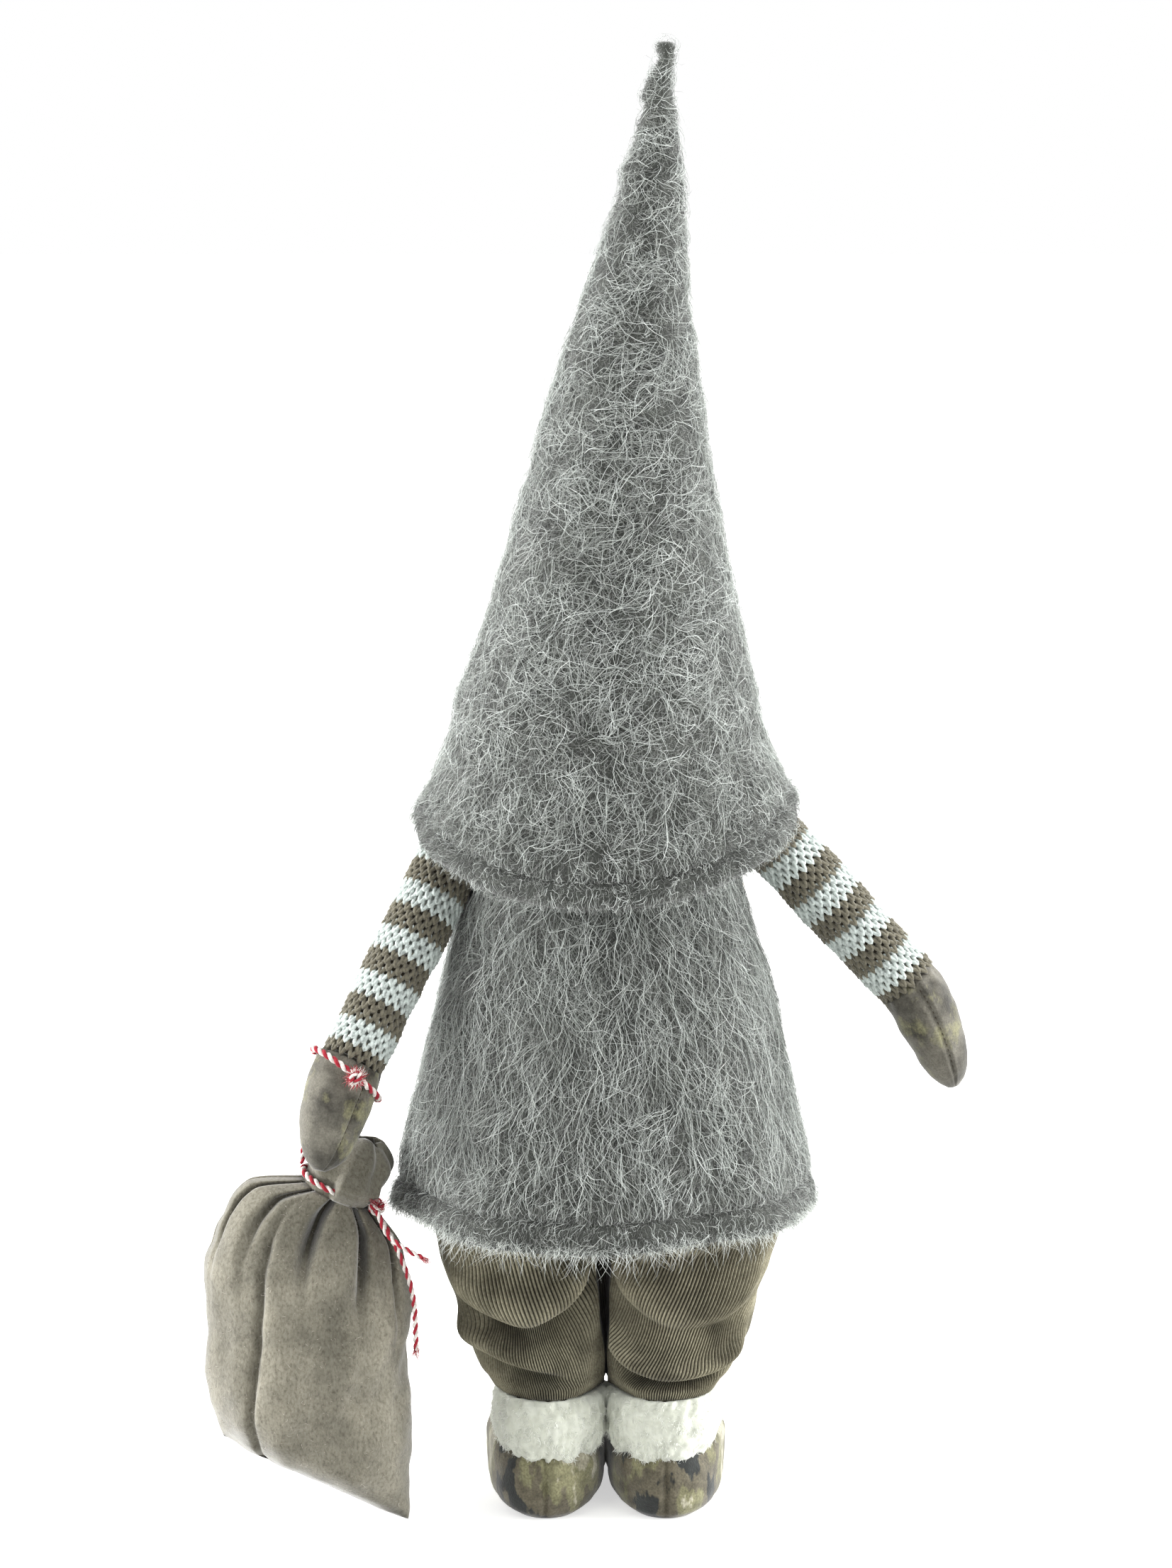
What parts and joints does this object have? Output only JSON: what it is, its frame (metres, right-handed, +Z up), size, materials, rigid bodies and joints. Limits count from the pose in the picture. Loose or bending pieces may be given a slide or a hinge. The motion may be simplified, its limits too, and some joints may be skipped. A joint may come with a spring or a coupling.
{
  "type": "gnome figure",
  "caption": "Standing soft-bodied gnome figure with a tall pointed hat, flared coat, poseable striped arms and a tied sack that swings from the wrist.",
  "frame": {"origin": "on the floor, under the middle of the box round the figure and its sack", "axes": "+Z up the figure; the figure faces -Y, and its left hand with the sack is at +X"},
  "size_m": [0.2714, 0.134, 0.5168],
  "materials": {
    "pile": "matte",
    "corduroy": "matte",
    "velvet": "matte",
    "fleece": "matte",
    "knit": "matte",
    "suede": "matte",
    "felt": "matte",
    "twine": "matte",
    "filling": "matte",
    "skin": "matte",
    "beard_pile": "matte",
    "board": "matte",
    "pellets": "matte",
    "wire": "satin"
  },
  "bodies": {
    "figure": {"left_boot": "velvet", "left_insole_board": "board", "left_boot_weight": "pellets", "left_boot_cuff": "fleece", "left_trouser_leg": "corduroy", "left_leg_filling": "filling", "right_boot": "velvet", "right_insole_board": "board", "right_boot_weight": "pellets", "right_boot_cuff": "fleece", "right_trouser_leg": "corduroy", "right_leg_filling": "filling", "trouser_seat": "corduroy", "torso_filling": "filling", "coat": "pile", "head": "filling", "hat_filling": "filling", "hat": "pile", "nose": "skin", "beard": "beard_pile"},
    "left_arm": {"left_sleeve": "knit", "left_arm_filling": "filling", "left_arm_wire": "wire", "left_mitten": "suede", "wrist_cord": "twine", "wrist_knot": "twine"},
    "right_arm": {"right_sleeve": "knit", "right_arm_filling": "filling", "right_arm_wire": "wire", "right_mitten": "suede"},
    "sack_hook": {"hanger_hitch": "twine"},
    "sack": {"sack_hanger_cord": "twine", "sack": "felt", "sack_filling": "filling", "sack_tie": "twine", "sack_tie_knot": "twine", "sack_tie_tail_long": "twine", "sack_tie_tail_short": "twine"}
  },
  "joints": [
    {"name": "left_arm_raise", "type": "hinge", "parent": "figure", "child": "left_arm", "pos_m": [0.04292, 0.00063, 0.24635], "axis": [0, -1, 0], "range_deg": [0, 34]},
    {"name": "right_arm_raise", "type": "hinge", "parent": "figure", "child": "right_arm", "pos_m": [-0.05408, 0.00063, 0.25535], "axis": [0, 1, 0], "range_deg": [-16, 17]},
    {"name": "sack_hang", "type": "hinge", "parent": "left_arm", "child": "sack_hook", "pos_m": [0.09301, 0.02089, 0.16786], "axis": [0, -1, 0], "range_deg": [-34, 0]},
    {"name": "sack_swing", "type": "hinge", "parent": "sack_hook", "child": "sack", "pos_m": [0.09301, 0.02089, 0.16786], "axis": [-1, 0, 0], "range_deg": [0, 20]}
  ],
  "couplings": [
    {"joint": "sack_hang", "follows": "left_arm_raise", "ratio": -1}
  ]
}
